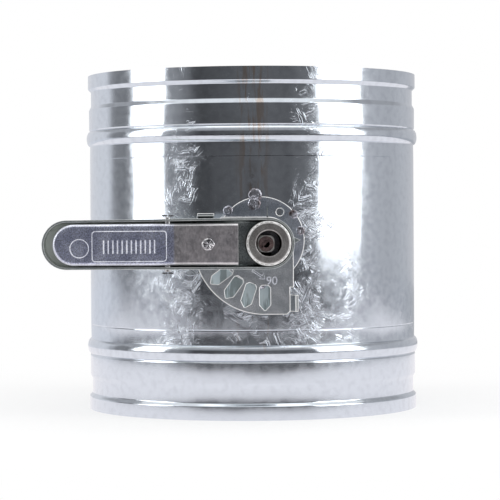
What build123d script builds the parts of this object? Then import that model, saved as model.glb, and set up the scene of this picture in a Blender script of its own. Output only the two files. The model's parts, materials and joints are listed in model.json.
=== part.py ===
from build123d import *

import math
import os

# Round volume control damper, standing on its lower rim. Millimetres, +Z along the duct.
# The origin is the centre of the lower rim, and the handle is on the -Y side.

# Duct shell: one rolled sheet with a beaded spigot at each end
duct_radius = 100.0
duct_wall = 0.8
duct_length = 204.0
rim_band_length = 8.0
rim_band_rise = 1.0
rim_drop_length = 1.5
neck_length = 9.0
neck_drop = 0.8
neck_rise_length = 2.5
clamp_band_length = 12.0
clamp_band_rise = 0.5
band_drop_length = 1.0
bead_width = 9.0
bead_height = 2.0
bead_steps = 8
seam_width = 2.4
seam_height = 0.3
seam_end_gap = 1.0
seam_angle = 125.0

# Clearances
turning_clearance = 0.05
seat_clearance = 0.05
assembly_clearance = 0.1

# Shaft
shaft_radius = 5.5
shaft_flats_across = 9.4
shaft_chamfer = 1.0
shaft_dimple_radius = 1.2
shaft_end_above_floor = 8.05
rear_end_length = 1.7
clip_groove_depth = 0.6
clip_thickness = 0.9
clip_width = 3.4
clip_mouth_share = 0.75

# Bushes and their plastic liners
liner_wall = 1.05
liner_flange_radius = 8.4
liner_flange_thickness = 1.2
bush_wall = 1.9
bush_flange_radius = 11.0
bush_flange_thickness = 2.0
bush_lip_width = 0.7
bush_lip_thickness = 0.6

# Base disc and its tack welds, given as (angle round the disc, distance past its edge, radius)
base_disc_radius = 25.1
base_disc_thickness = 1.5
base_disc_centre = (-1.7, 1.9)
sight_hole_radius = 2.1
sight_hole_angle = 55.7
sight_hole_inset = 5.6
tack_weld_places = [
    (97.0, 1.0, 4.2),
    (100.0, -3.9, 4.0),
    (38.2, -1.3, 2.8),
    (13.1, -1.7, 2.8),
    (138.0, 0.3, 3.0),
    (270.0, -0.4, 3.6),
]
tack_weld_height_share = 0.2

# Quadrant plate: its open side is on the right, its shut side on top
quadrant_thickness = 1.5
quadrant_standoff = 4.9
quadrant_radius = 40.6
open_side = 16.5
open_edge = 14.4
shut_side = 15.4
shut_edge = 13.5
quadrant_side_reach = 25.1
quadrant_chamfer = 1.8
quadrant_corner_radius = 15.0
slot_count = 6
slot_pitch_angle = 18.0
slot_centre_radius = 31.2
slot_length = 14.6
slot_width = 6.1
slot_flat_width = 3.4
slot_corner_cut = 1.5
slot_point_length = 3.4
slot_corner_radius = 0.7
stop_tab_start = 29.2
stop_tab_splay = 17.0
stop_tab_height = 8.0
stop_tab_bend_radius = 1.2
spacer_wall = 3.4

# Friction washer between the quadrant plate and the handle
friction_washer_thickness = 1.3
friction_washer_width = 3.2

# Handle: a pressed channel that opens away from the duct, its round end a little off the shaft
hub_offset = (1.3, 0.3)
handle_sheet = 1.2
handle_hub_radius = 14.2
handle_tail_radius = 13.7
handle_length = 112.7
handle_height = 13.8
handle_draft = 1.6
handle_bend_radius = 2.4
handle_tail_height = 9.6
handle_step_start = 46.8
handle_step_end = 64.8
pointer_tip = 19.0
pointer_half_width = 4.2
pointer_root = 11.0
pointer_angle = 5.3
pin_window_length = 9.0
pin_window_width = 6.4

# Hub cup round the end of the shaft, centred in the handle's round end
hub_radius = 12.9
hub_wall = 1.2
hub_height = 13.1
hub_edge_radius = 1.5
hub_hole_radius = 7.2
hub_hole_edge_radius = 0.8
hub_lip_depth = 3.0
hub_foot_chamfer = 0.9

# Latch lever: a tray that opens towards the duct, shown here as it is when latched
lever_sheet = 1.2
lever_half_width = 11.2
lever_draft = 3.0
lever_near_end = 15.7
lever_bend_at = 51.9
lever_far_end = 119.7
lever_bend_angle = 4.2
lever_face_above_floor = 10.9
lever_skirt_near = 7.2
lever_skirt_pivot = 8.3
lever_skirt_far = 5.2
lever_edge_radius = 1.9
lever_pivot_ear = 4.0
lever_ear_slope = 7.0
pivot_distance = 55.6
pivot_above_floor = 5.6
pivot_pin_radius = 1.7
pivot_pin_stick_out = 1.2
pivot_pin_chamfer = 0.4

# Locking pin
locking_pin_distance = 32.8
locking_pin_radius = 2.6
locking_pin_chamfer = 0.6
locking_pin_head_radius = 3.35
locking_pin_head_height = 0.8
locking_pin_depth = 1.2
locking_pin_lift = 0.5

# Torsion spring on the pivot pin
spring_wire_radius = 0.45
spring_turns = 4
spring_pitch = 1.05
spring_leg_length = 11.0
spring_play = 0.3
spring_lever_play = 0.6

# Blade
blade_edge_gap = 2.2
blade_thickness = 1.2
blade_notch_half_width = 14.0
blade_notch_gap = 1.9
strap_place = 48.0
strap_width = 18.0
strap_sheet = 1.5
strap_flange_length = 11.0
rivet_radius = 2.0
rivet_head_radius = 3.6
rivet_head_height = 1.3

# Rear washer
rear_washer_thickness = 1.2
rear_liner_stand = 0.4

# Heights along the duct from a rim
neck_start = rim_band_length + rim_drop_length
band_start = neck_start + neck_length + neck_rise_length
bead_start = band_start + clamp_band_length + band_drop_length
bead_end = bead_start + bead_width

# Heights outward from the duct's axis, worked out from the sizes above
shaft_height = duct_length / 2
inner_radius = duct_radius - duct_wall
blade_radius = inner_radius - blade_edge_gap
bore_radius = shaft_radius + turning_clearance
liner_radius = bore_radius + liner_wall
bush_bore_radius = liner_radius + seat_clearance
bush_radius = bush_bore_radius + bush_wall
bush_hole_radius = bush_radius + assembly_clearance
disc_back = duct_radius + seat_clearance
disc_front = disc_back + base_disc_thickness
quadrant_back = disc_front + quadrant_standoff
quadrant_front = quadrant_back + quadrant_thickness
floor_back = quadrant_front + friction_washer_thickness + 2 * seat_clearance
floor_front = floor_back + handle_sheet
rim_level = floor_back + handle_height
shaft_front_reach = floor_front + shaft_end_above_floor
bush_flange_front = math.sqrt(inner_radius**2 - bush_flange_radius**2) - seat_clearance
bush_flange_back = bush_flange_front - bush_flange_thickness
liner_back = bush_flange_back - liner_flange_thickness
pivot_level = floor_front + pivot_above_floor
face_level = floor_front + lever_face_above_floor
pin_arm = pivot_distance - locking_pin_distance
latch_lift_angle = math.degrees(math.atan((locking_pin_depth + locking_pin_lift) / pin_arm))
spring_coil_radius = pivot_pin_radius + spring_play + spring_wire_radius
front_liner_end = quadrant_front + bush_lip_thickness
rear_lip_start = disc_back + rear_washer_thickness
rear_liner_end = rear_lip_start + bush_lip_thickness + rear_liner_stand
rear_clip_level = rear_liner_end + assembly_clearance
rear_end_reach = rear_clip_level + clip_thickness + rear_end_length


def facing_front(level):
    """A plane square to the shaft on the handle's side, with x to the right and y up."""
    return Plane(origin=(0, -level, shaft_height), x_dir=(1, 0, 0), z_dir=(0, -1, 0))


def facing_rear(level):
    """The same plane on the far side of the duct, seen from behind."""
    return Plane(origin=(0, level, shaft_height), x_dir=(-1, 0, 0), z_dir=(0, 1, 0))


def turned(points, plane_at):
    """Revolve a closed outline of (radius, level) points about the shaft axis."""
    base = plane_at(0)
    section = Plane(origin=base.origin, x_dir=base.x_dir, z_dir=base.y_dir * -1)
    return revolve(section * make_face(Polyline(*points, close=True)), Axis(base.origin, base.z_dir))


def broken_corners(outline):
    """Points of (radius, level, rounding): each rounded corner becomes two short cuts."""
    points = []
    count = len(outline)
    for spot, (radius, level, rounding) in enumerate(outline):
        if rounding == 0:
            points.append((radius, level))
            continue
        here = Vector(radius, level)
        back = (Vector(*outline[spot - 1][:2]) - here).normalized() * rounding
        onward = (Vector(*outline[(spot + 1) % count][:2]) - here).normalized() * rounding
        middle = here + (back + onward) * (1 - math.sqrt(0.5))
        points += [(corner.X, corner.Y) for corner in (here + back, middle, here + onward)]
    return points


def ring(inner, outer, start, end, plane_at=facing_front):
    """A flat ring or a tube round the shaft axis, between two levels."""
    face = Circle(outer) - Circle(inner)
    return extrude(plane_at(start) * face, amount=end - start)


def duct_outline():
    """The duct's outer profile as points of (radius, height), from the lower rim to the upper."""
    rim = duct_radius + rim_band_rise
    neck = duct_radius - neck_drop
    band = duct_radius + clamp_band_rise
    lower = [
        (rim, 0),
        (rim, rim_band_length),
        (neck, neck_start),
        (neck, neck_start + neck_length),
        (band, band_start),
        (band, band_start + clamp_band_length),
        (duct_radius, bead_start),
    ]
    for step in range(1, bead_steps + 1):
        angle = math.pi * step / bead_steps
        height = bead_start + bead_width * (1 - math.cos(angle)) / 2
        lower.append((duct_radius + bead_height * math.sin(angle), height))
    upper = [(radius, duct_length - height) for radius, height in reversed(lower)]
    return lower + upper


def duct_shell():
    outer = duct_outline()
    inner = [(radius - duct_wall, height) for radius, height in reversed(outer)]
    wall = make_face(Polyline(*outer, *inner, close=True))
    shell = revolve(Plane.XZ * wall, Axis.Z)
    for plane_at in (facing_front, facing_rear):
        shell -= extrude(plane_at(inner_radius / 2) * Circle(bush_hole_radius), amount=duct_radius)
    seam_length = duct_length - 2 * (bead_end + seam_end_gap)
    seam = Box(duct_wall + seam_height, seam_width, seam_length)
    seam_radius = duct_radius + seam_height - (duct_wall + seam_height) / 2
    return shell + Rot(0, 0, seam_angle) * Pos(seam_radius, 0, shaft_height) * seam


def near_disc_edge(angle, past):
    """The place at this angle round the base disc, this far past its edge, from the shaft axis."""
    reach = base_disc_radius + past
    return Pos(*base_disc_centre) * Pos(polar(reach, angle))


def base_disc():
    face = Pos(*base_disc_centre) * Circle(base_disc_radius)
    face -= Circle(bush_hole_radius)
    face -= near_disc_edge(sight_hole_angle, -sight_hole_inset) * Circle(sight_hole_radius)
    return extrude(facing_front(disc_back) * face, amount=base_disc_thickness)


def polar(reach, angle):
    """The point (x, y) at this distance and angle."""
    return reach * math.cos(math.radians(angle)), reach * math.sin(math.radians(angle))


def tack_weld(angle, past, radius):
    """One weld bead: a low dome over the disc's edge, filled down to the duct."""
    height = radius * tack_weld_height_share
    ball = (radius**2 + height**2) / (2 * height)
    place = facing_front(disc_front) * near_disc_edge(angle, past)
    dome = place * Pos(0, 0, height - ball) * Sphere(ball)
    root = disc_front - inner_radius
    standing = (Align.CENTER, Align.CENTER, Align.MIN)
    column = place * Pos(0, 0, -root) * Cylinder(radius, root, align=standing)
    cap = place * Cylinder(radius, height, align=standing)
    return column + (dome & cap)


def tack_welds():
    beads = [tack_weld(*place) for place in tack_weld_places]
    beads = [beads[0] + beads[1], *beads[2:]]
    duct = Pos(0, 0, shaft_height) * Cylinder(duct_radius + seat_clearance / 2, duct_length)
    disc = extrude(
        facing_front(0) * Pos(*base_disc_centre) * Circle(base_disc_radius + seat_clearance / 2),
        amount=disc_front,
    )
    return [bead - duct - disc for bead in beads]


def bush(plane_at, neck_start, lip_start):
    """A flanged steel bush: flange inside the duct, swaged lip on the outermost piece."""
    lip = lip_start + bush_lip_thickness
    neck = bush_radius - bush_lip_width
    points = [
        (bush_bore_radius, bush_flange_back),
        (bush_flange_radius, bush_flange_back),
        (bush_flange_radius, bush_flange_front),
        (bush_radius, bush_flange_front),
        (bush_radius, neck_start),
        (neck, neck_start),
        (neck, lip_start),
        (bush_radius, lip_start),
        (neck, lip),
        (bush_bore_radius, lip),
    ]
    return turned(points, plane_at)


def liner(plane_at, end):
    """A plastic sleeve that the shaft turns in, with a thrust flange inside the duct."""
    points = [
        (bore_radius, liner_back),
        (liner_flange_radius, liner_back),
        (liner_flange_radius, bush_flange_back),
        (liner_radius, bush_flange_back),
        (liner_radius, end),
        (bore_radius, end),
    ]
    return turned(points, plane_at)


def quadrant_outline():
    """The plate's outline: an arc between two straight sides, each with a step and a chamfer."""
    low = -quadrant_radius
    tip = low + quadrant_chamfer
    reach = -quadrant_side_reach
    open_start = open_edge - quadrant_chamfer
    shut_start = shut_edge - quadrant_chamfer
    corner_start = (open_side, shut_side - quadrant_corner_radius)
    corner_end = (open_side - quadrant_corner_radius, shut_side)
    lines = [
        Polyline((0, low), (open_start, low), (open_edge, tip), (open_edge, reach)),
        Polyline((open_edge, reach), (open_side, reach), corner_start),
        RadiusArc(corner_start, corner_end, -quadrant_corner_radius),
        Polyline(corner_end, (reach, shut_side), (reach, shut_edge)),
        Polyline((reach, shut_edge), (tip, shut_edge), (low, shut_start), (low, 0)),
        RadiusArc((low, 0), (0, low), -quadrant_radius),
    ]
    return make_face(Curve() + lines)


def stop_tab(edge):
    """A tab at the right of the plate: bent up from its edge and splayed outwards."""
    lean = math.tan(math.radians(stop_tab_splay))
    across = quadrant_thickness / math.cos(math.radians(stop_tab_splay))
    bend = quadrant_back + stop_tab_bend_radius
    top = quadrant_front + stop_tab_height
    points = [
        (edge, quadrant_back),
        (edge + stop_tab_bend_radius / 2, quadrant_back),
        (edge + across, bend),
        (edge + across + lean * (top - bend), top),
        (edge + lean * stop_tab_height, top),
        (edge, quadrant_front),
    ]
    tab_end = quadrant_radius - quadrant_chamfer
    section = Plane(origin=(0, 0, shaft_height - tab_end), x_dir=(1, 0, 0), z_dir=(0, 0, 1))
    outline = make_face(Polyline(*[(x, -level) for x, level in points], close=True))
    return extrude(section * outline, amount=tab_end - stop_tab_start)


def slot_outline():
    """One slot, long in x: cut corners at its inner end, a blunt point at its outer end."""
    end = slot_length / 2
    side = slot_width / 2
    upper = [(-end, slot_flat_width / 2), (slot_corner_cut - end, side), (end - slot_point_length, side)]
    lower = [(x, -y) for x, y in reversed(upper)]
    outline = make_face(Polyline(*upper, (end, 0), *lower, close=True))
    return fillet(outline.vertices(), slot_corner_radius)


def quadrant_plate():
    face = quadrant_outline() - Circle(bush_radius - bush_lip_width + seat_clearance)
    for step in range(slot_count):
        angle = 270 - step * slot_pitch_angle
        face -= Rot(0, 0, angle) * Pos(slot_centre_radius, 0) * slot_outline()
    plate = extrude(facing_front(quadrant_back) * face, amount=quadrant_thickness)
    half_way = Plane(origin=(0, 0, shaft_height), z_dir=(1, 0, -1))
    return plate + stop_tab(open_edge) + mirror(stop_tab(shut_edge), about=half_way)


def quadrant_spacer():
    return ring(bush_hole_radius, bush_hole_radius + spacer_wall, disc_front, quadrant_back)


def friction_washer():
    inner = bush_radius + assembly_clearance
    start = quadrant_front + seat_clearance
    return ring(inner, inner + friction_washer_width, start, start + friction_washer_thickness)


def shaft_section(gap=0.0):
    """The shaft's front section: a round bar with four flats."""
    across = shaft_flats_across + 2 * gap
    return Circle(shaft_radius + gap) & Rectangle(across, across)


def shaft():
    length = shaft_front_reach + rear_end_reach
    bar = extrude(facing_front(-rear_end_reach) * Circle(shaft_radius), amount=length)
    bar = chamfer(bar.edges().filter_by(GeomType.CIRCLE), shaft_chamfer)
    beside = Circle(shaft_radius * 2) - shaft_section()
    bar -= extrude(facing_front(floor_back) * beside, amount=handle_height * 2)
    groove = shaft_radius - clip_groove_depth
    bar -= ring(groove, shaft_radius * 2, floor_front, floor_front + clip_thickness + 2 * seat_clearance)
    rear_start = rear_clip_level - seat_clearance
    rear_end = rear_start + clip_thickness + 2 * seat_clearance
    bar -= ring(groove, shaft_radius * 2, rear_start, rear_end, facing_rear)
    dimple = facing_front(shaft_front_reach) * Sphere(shaft_dimple_radius)
    return bar - dimple


def retaining_clip(start, plane_at):
    """A spring clip in a groove of the shaft, open on one side."""
    inner = shaft_radius - clip_groove_depth + seat_clearance
    outer = inner + clip_width
    mouth = Pos(0, -outer) * Rectangle(2 * inner * clip_mouth_share, 2 * outer)
    face = Circle(outer) - Circle(inner) - mouth
    return extrude(plane_at(start) * face, amount=clip_thickness)


def handle_outline(shrink=0.0):
    """The handle seen from the front: two arcs joined by straight flanks."""
    hub = Pos(*hub_offset) * Circle(handle_hub_radius - shrink)
    tail = Pos(-handle_length, 0) * Circle(handle_tail_radius - shrink)
    return make_hull((hub + tail).edges())


def handle_body():
    outer = extrude(facing_front(floor_back) * handle_outline(), amount=handle_height, taper=-handle_draft)
    floor_edges = outer.faces().sort_by(Axis.Y)[-1].edges()
    outer = fillet(floor_edges, handle_bend_radius)
    inner = extrude(
        facing_front(floor_front) * handle_outline(handle_sheet),
        amount=handle_height,
        taper=-handle_draft,
    )
    inner_edges = inner.faces().sort_by(Axis.Y)[-1].edges()
    channel = outer - fillet(inner_edges, handle_bend_radius - handle_sheet)
    tail = floor_back + handle_tail_height
    far = -2 * handle_length
    clear = rim_level + handle_sheet
    step = [
        (-handle_step_start, clear),
        (-handle_step_start, rim_level),
        (-handle_step_end, tail),
        (far, tail),
        (far, clear),
    ]
    side = Plane(origin=(0, 0, shaft_height - 2 * handle_hub_radius), x_dir=(1, 0, 0), z_dir=(0, 0, 1))
    above = make_face(Polyline(*[(x, -level) for x, level in step], close=True))
    channel -= extrude(side * above, amount=4 * handle_hub_radius)
    pointer = make_face(
        Polyline(
            (pointer_root, pointer_half_width),
            (pointer_tip, 0),
            (pointer_root, -pointer_half_width),
            close=True,
        )
    )
    pointer = Pos(*hub_offset) * Rot(0, 0, pointer_angle) * pointer
    channel += extrude(facing_front(floor_back) * pointer, amount=handle_sheet)
    window = Pos(-locking_pin_distance, 0) * SlotOverall(pin_window_length, pin_window_width)
    holes = shaft_section(seat_clearance) + window
    channel -= extrude(facing_front(floor_back) * holes, amount=handle_sheet)
    return channel - pivot_bore(pivot_pin_radius + seat_clearance / 2)


def pivot_bore(radius):
    """A bar along the latch pivot, longer than the handle is wide."""
    return Pos(-pivot_distance, -pivot_level, shaft_height) * Cylinder(radius, 4 * handle_hub_radius)


def hub_cup():
    start = floor_front + seat_clearance
    top = start + hub_height
    lip = hub_hole_radius + hub_wall
    outline = [
        (hub_radius - hub_foot_chamfer, start, 0),
        (hub_radius, start + hub_foot_chamfer, 0),
        (hub_radius, top, hub_edge_radius),
        (hub_hole_radius, top, hub_hole_edge_radius),
        (hub_hole_radius, top - hub_lip_depth, 0),
        (lip, top - hub_lip_depth, 0),
        (lip, top - hub_wall, 0),
        (hub_radius - hub_wall, top - hub_wall, hub_edge_radius / 2),
        (hub_radius - hub_wall, start, 0),
    ]
    cup = turned(broken_corners(outline), facing_front)
    return Pos(hub_offset[0], 0, hub_offset[1]) * cup


def lever_plan(shrink=0.0):
    """The lever seen from the front: a round far end and a straight end near the hub."""
    half = lever_half_width - shrink
    length = lever_far_end - lever_near_end - lever_half_width
    centre = -lever_far_end + lever_half_width
    plan = Pos(centre, 0) * Circle(half)
    return plan + Pos(centre + length / 2, 0) * Rectangle(length, 2 * half)


def lever_side(drop, near_end):
    """The lever seen from below: its bent face above, the skirt's lower edge underneath."""
    rise = (lever_far_end - lever_bend_at) * math.tan(math.radians(lever_bend_angle))
    top = face_level - drop
    points = [
        (near_end, top),
        (-lever_bend_at, top),
        (-lever_far_end - 1, top + rise),
        (-lever_far_end - 1, face_level + rise - lever_skirt_far),
        (-pivot_distance - lever_pivot_ear - lever_ear_slope, face_level - lever_skirt_near),
        (-pivot_distance - lever_pivot_ear, face_level - lever_skirt_pivot),
        (-pivot_distance + lever_pivot_ear, face_level - lever_skirt_pivot),
        (-pivot_distance + lever_pivot_ear + lever_ear_slope, face_level - lever_skirt_near),
        (near_end, face_level - lever_skirt_near),
    ]
    return make_face(Polyline(*[(x, -level) for x, level in points], close=True))


def lever_block(shrink, drop, near_end):
    """The space under the lever's face, less its sheet where shrink and drop are the sheet."""
    high = face_level + 2 * handle_sheet + handle_height / 2
    depth = high - floor_front
    plan = extrude(
        facing_front(high) * lever_plan(shrink),
        amount=depth,
        dir=(0, 1, 0),
        taper=-lever_draft,
    )
    side = Plane(origin=(0, 0, shaft_height - 2 * handle_hub_radius), x_dir=(1, 0, 0), z_dir=(0, 0, 1))
    return plan & extrude(side * lever_side(drop, near_end), amount=4 * handle_hub_radius)


def lifted(piece):
    """Turn a piece of the latch from its latched place to rest, with the locking pin clear."""
    pivot = Axis((-pivot_distance, -pivot_level, shaft_height), (0, 0, 1))
    return piece.rotate(pivot, -latch_lift_angle)


def on_lever_rim(edge):
    """True for the edges between the lever's face and its skirt, along both sides."""
    centre = edge.center()
    beside = abs(centre.Z - shaft_height) > lever_half_width / 2
    return beside and -centre.Y > face_level - lever_sheet and edge.length > lever_half_width


def latch_lever():
    tray = lever_block(0, 0, -lever_near_end)
    tray = fillet(tray.edges().filter_by(on_lever_rim), lever_edge_radius)
    tray -= lever_block(lever_sheet, lever_sheet, -lever_near_end + 1)
    rivet_hole = facing_front(floor_back) * Pos(-locking_pin_distance, 0) * Cylinder(
        locking_pin_radius - locking_pin_chamfer + seat_clearance, 2 * handle_height
    )
    tray -= rivet_hole
    return lifted(tray - pivot_bore(pivot_pin_radius + turning_clearance))


def locking_pin():
    """The pin that drops through the floor's window, riveted over on the lever's face."""
    tip = quadrant_front - locking_pin_depth
    shoulder = face_level - lever_sheet - seat_clearance
    stem = locking_pin_radius - locking_pin_chamfer
    top = face_level + seat_clearance
    points = [
        (0, tip),
        (stem, tip),
        (locking_pin_radius, tip + locking_pin_chamfer),
        (locking_pin_radius, shoulder),
        (stem, shoulder),
        (stem, top),
        (locking_pin_head_radius, top),
        (locking_pin_head_radius, top + locking_pin_head_height / 2),
        (locking_pin_head_radius * 0.75, top + locking_pin_head_height),
        (0, top + locking_pin_head_height),
    ]
    return lifted(Pos(-locking_pin_distance, 0, 0) * turned(points, facing_front))


def latch_pivot_pin():
    draft = handle_height * math.tan(math.radians(handle_draft))
    half = handle_hub_radius + draft / 2 + pivot_pin_stick_out
    pin = Cylinder(pivot_pin_radius, 2 * half)
    pin = chamfer(pin.edges().filter_by(GeomType.CIRCLE), pivot_pin_chamfer)
    return Pos(-pivot_distance, -pivot_level, shaft_height) * pin


def spring_leg_angle(reach):
    """How far a leg leans so that its tip is this far from the pivot, across the handle."""
    slant = math.hypot(spring_coil_radius, spring_leg_length)
    return math.degrees(math.asin(reach / slant) - math.atan(spring_coil_radius / spring_leg_length))


def latch_spring():
    """A torsion spring round the pivot pin, one leg on the floor and one under the lever."""
    bend = math.radians(lever_bend_angle)
    face = face_level - pivot_level + (pivot_distance - lever_bend_at) * math.tan(bend)
    gap = spring_wire_radius + assembly_clearance
    lever_lean = spring_leg_angle(face * math.cos(bend) - lever_sheet - gap - spring_lever_play)
    floor_lean = spring_leg_angle(pivot_above_floor - gap)
    turns = spring_turns + (180 - lever_lean - floor_lean) / 360
    coil = Helix(pitch=spring_pitch, height=spring_pitch * turns, radius=spring_coil_radius)
    lever_tip = coil @ 0 - (coil % 0) * spring_leg_length
    floor_tip = coil @ 1 + (coil % 1) * spring_leg_length
    path = Wire([Line(lever_tip, coil @ 0).edge(), coil.edge(), Line(coil @ 1, floor_tip).edge()])
    spring = sweep(Plane(origin=lever_tip, z_dir=coil % 0) * Circle(spring_wire_radius), path=path)
    centred = Rot(0, 0, lever_lean - 90) * Pos(0, 0, -spring_pitch * turns / 2) * spring
    return Pos(-pivot_distance, -pivot_level, shaft_height) * centred


def blade():
    """A round plate beside the shaft, notched at both ends to clear the bushes."""
    low = shaft_radius + seat_clearance
    disc = Circle(blade_radius)
    reach = liner_back - blade_notch_gap
    notch = Rectangle(2 * blade_notch_half_width, blade_radius)
    for side in (-1, 1):
        disc -= Pos(0, side * (reach + blade_radius / 2)) * notch
    return extrude(Plane.XY.offset(shaft_height + low) * disc, amount=blade_thickness)


def blade_straps():
    """Two bent straps that hold the shaft against the blade."""
    inner = shaft_radius + seat_clearance
    outer = inner + strap_sheet
    top = inner - seat_clearance / 2
    flange = outer + strap_flange_length
    face = Circle(outer) + Pos(0, top / 2) * Rectangle(2 * outer, top)
    face = face & (Pos(0, (top - outer) / 2) * Rectangle(2 * outer, top + outer))
    face += Pos(0, top - strap_sheet / 2) * Rectangle(2 * flange, strap_sheet)
    face -= Circle(inner) + Pos(0, inner / 2) * Rectangle(2 * inner, inner)
    straps = []
    for place in (-strap_place, strap_place):
        start = facing_front(place - strap_width / 2)
        strap = extrude(start * face, amount=strap_width)
        for across in (-1, 1):
            x = across * (outer + strap_flange_length / 2)
            hole = Cylinder(rivet_radius + seat_clearance, 4 * inner)
            strap -= Pos(x, -place, shaft_height + top) * hole
        straps.append(strap)
    return straps


def blade_with_holes():
    plate = blade()
    hole = Cylinder(rivet_radius + seat_clearance, 4 * blade_thickness)
    for x, y in rivet_places():
        plate -= Pos(x, y, shaft_height + shaft_radius) * hole
    return plate


def rivet_places():
    x = shaft_radius + seat_clearance + strap_sheet + strap_flange_length / 2
    return [(across * x, along * strap_place) for across in (-1, 1) for along in (-1, 1)]


def blade_rivets():
    """Rivets through the straps and the blade, with a flat round head at each end."""
    under = shaft_radius - strap_sheet - seat_clearance
    over = shaft_radius + blade_thickness + 2 * seat_clearance
    head = Cylinder(rivet_head_radius, rivet_head_height, align=(Align.CENTER, Align.CENTER, Align.MIN))
    head = chamfer(head.edges().sort_by(Axis.Z)[-1], rivet_head_height / 2)
    stem = Cylinder(rivet_radius, over - under, align=(Align.CENTER, Align.CENTER, Align.MIN))
    rivet = Pos(0, 0, under) * stem + Pos(0, 0, over) * head + Pos(0, 0, under) * Rot(180, 0, 0) * head
    return [Pos(x, y, shaft_height) * rivet for x, y in rivet_places()]


def rear_washer():
    inner = bush_radius - bush_lip_width + seat_clearance
    return ring(inner, bush_flange_radius, disc_back, rear_lip_start - seat_clearance, facing_rear)


def save(name, shapes):
    solids = shapes if isinstance(shapes, list) else [shapes]
    export_step(Compound(children=[Part() + shape for shape in solids]), f"parts/{name}.step")


def main():
    os.makedirs("parts", exist_ok=True)
    save("duct_shell", duct_shell())
    save("base_disc", base_disc())
    save("tack_welds", tack_welds())
    save("front_bush", bush(facing_front, quadrant_back, quadrant_front))
    save("front_liner", liner(facing_front, front_liner_end))
    save("quadrant_spacer", quadrant_spacer())
    save("quadrant_plate", quadrant_plate())
    save("friction_washer", friction_washer())
    save("shaft", shaft())
    save("blade", blade_with_holes())
    save("blade_straps", blade_straps())
    save("blade_rivets", blade_rivets())
    save("handle_body", handle_body())
    save("hub_cup", hub_cup())
    save("hub_clip", retaining_clip(floor_front + seat_clearance, facing_front))
    save("latch_lever", latch_lever())
    save("locking_pin", locking_pin())
    save("latch_pivot_pin", latch_pivot_pin())
    save("latch_spring", latch_spring())
    save("rear_bush", bush(facing_rear, disc_back, rear_lip_start))
    save("rear_liner", liner(facing_rear, rear_liner_end))
    save("rear_washer", rear_washer())
    save("rear_clip", retaining_clip(rear_clip_level, facing_rear))


main()
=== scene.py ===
import json
import math

import bmesh
import bpy
from mathutils import Matrix, Vector, noise
from mathutils.bvhtree import BVHTree


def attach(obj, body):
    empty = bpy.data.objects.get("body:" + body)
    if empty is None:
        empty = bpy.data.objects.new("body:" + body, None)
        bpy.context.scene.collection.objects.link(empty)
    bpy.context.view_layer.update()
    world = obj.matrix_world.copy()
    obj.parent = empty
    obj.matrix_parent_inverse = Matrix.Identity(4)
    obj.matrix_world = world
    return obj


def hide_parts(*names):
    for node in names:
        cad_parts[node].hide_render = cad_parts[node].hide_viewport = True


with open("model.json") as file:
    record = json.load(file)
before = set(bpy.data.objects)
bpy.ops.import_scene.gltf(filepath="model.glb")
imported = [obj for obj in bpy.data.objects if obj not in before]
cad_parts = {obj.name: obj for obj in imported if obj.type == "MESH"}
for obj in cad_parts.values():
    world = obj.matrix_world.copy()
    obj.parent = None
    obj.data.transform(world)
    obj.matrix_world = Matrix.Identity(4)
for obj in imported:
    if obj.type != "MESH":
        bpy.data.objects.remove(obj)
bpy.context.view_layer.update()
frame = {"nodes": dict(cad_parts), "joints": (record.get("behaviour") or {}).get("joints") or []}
print("Frame loaded:", len(frame["nodes"]), "nodes")

mm = 0.001
joints = {joint["name"]: joint for joint in frame["joints"]}
shaftHeight = joints["handle_turn"]["pos_m"][2]
pivotX, pivotY, pivotZ = joints["latch_squeeze"]["pos_m"]


# Mesh helpers

weldDistance = 1e-6  # metres
edgeBreaks = {"segments": 2, "sharpDegrees": 32, "flatDegrees": 0.4, "normalWeight": 100}
# No painted highlight on faces that lean from the front
noLeanHighlight = {"share": 0.0, "from": 14, "full": 34, "until": 181}


def evaluatedMesh(piece):
    graph = bpy.context.evaluated_depsgraph_get()
    return bpy.data.meshes.new_from_object(piece.evaluated_get(graph))


def workPiece(data, name="work"):
    piece = bpy.data.objects.new(name, data)
    bpy.context.scene.collection.objects.link(piece)
    return piece


def finishPiece(mesh, name, body, material, stands=()):
    piece = workPiece(mesh, name)
    mesh.materials.clear()
    mesh.materials.append(material)
    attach(piece, body)
    if stands:
        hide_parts(*stands)


def formOf(mesh, welded=True):
    form = bmesh.new()
    form.from_mesh(mesh)
    if welded:
        bmesh.ops.remove_doubles(form, verts=form.verts, dist=weldDistance)
    return form


def meshFrom(form, name):
    mesh = bpy.data.meshes.new(name)
    form.to_mesh(mesh)
    form.free()
    return mesh


def spotsOf(node):
    return [corner.co for corner in frame["nodes"][node].data.vertices]


def frontOf(node, x, z):  # where a line along +Y first meets a node, as its y
    faces = [list(face.vertices) for face in frame["nodes"][node].data.polygons]
    shape = BVHTree.FromPolygons(spotsOf(node), faces)
    spot = shape.ray_cast(Vector((x, -0.3, z)), Vector((0, 1, 0)))[0]
    if spot is None:
        raise RuntimeError(f"{node} isn't at x {x}, z {z}")
    return spot.y


def smoothByAngle(mesh, degrees):
    mesh.shade_smooth()
    mesh.set_sharp_from_angle(angle=math.radians(degrees))


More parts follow.
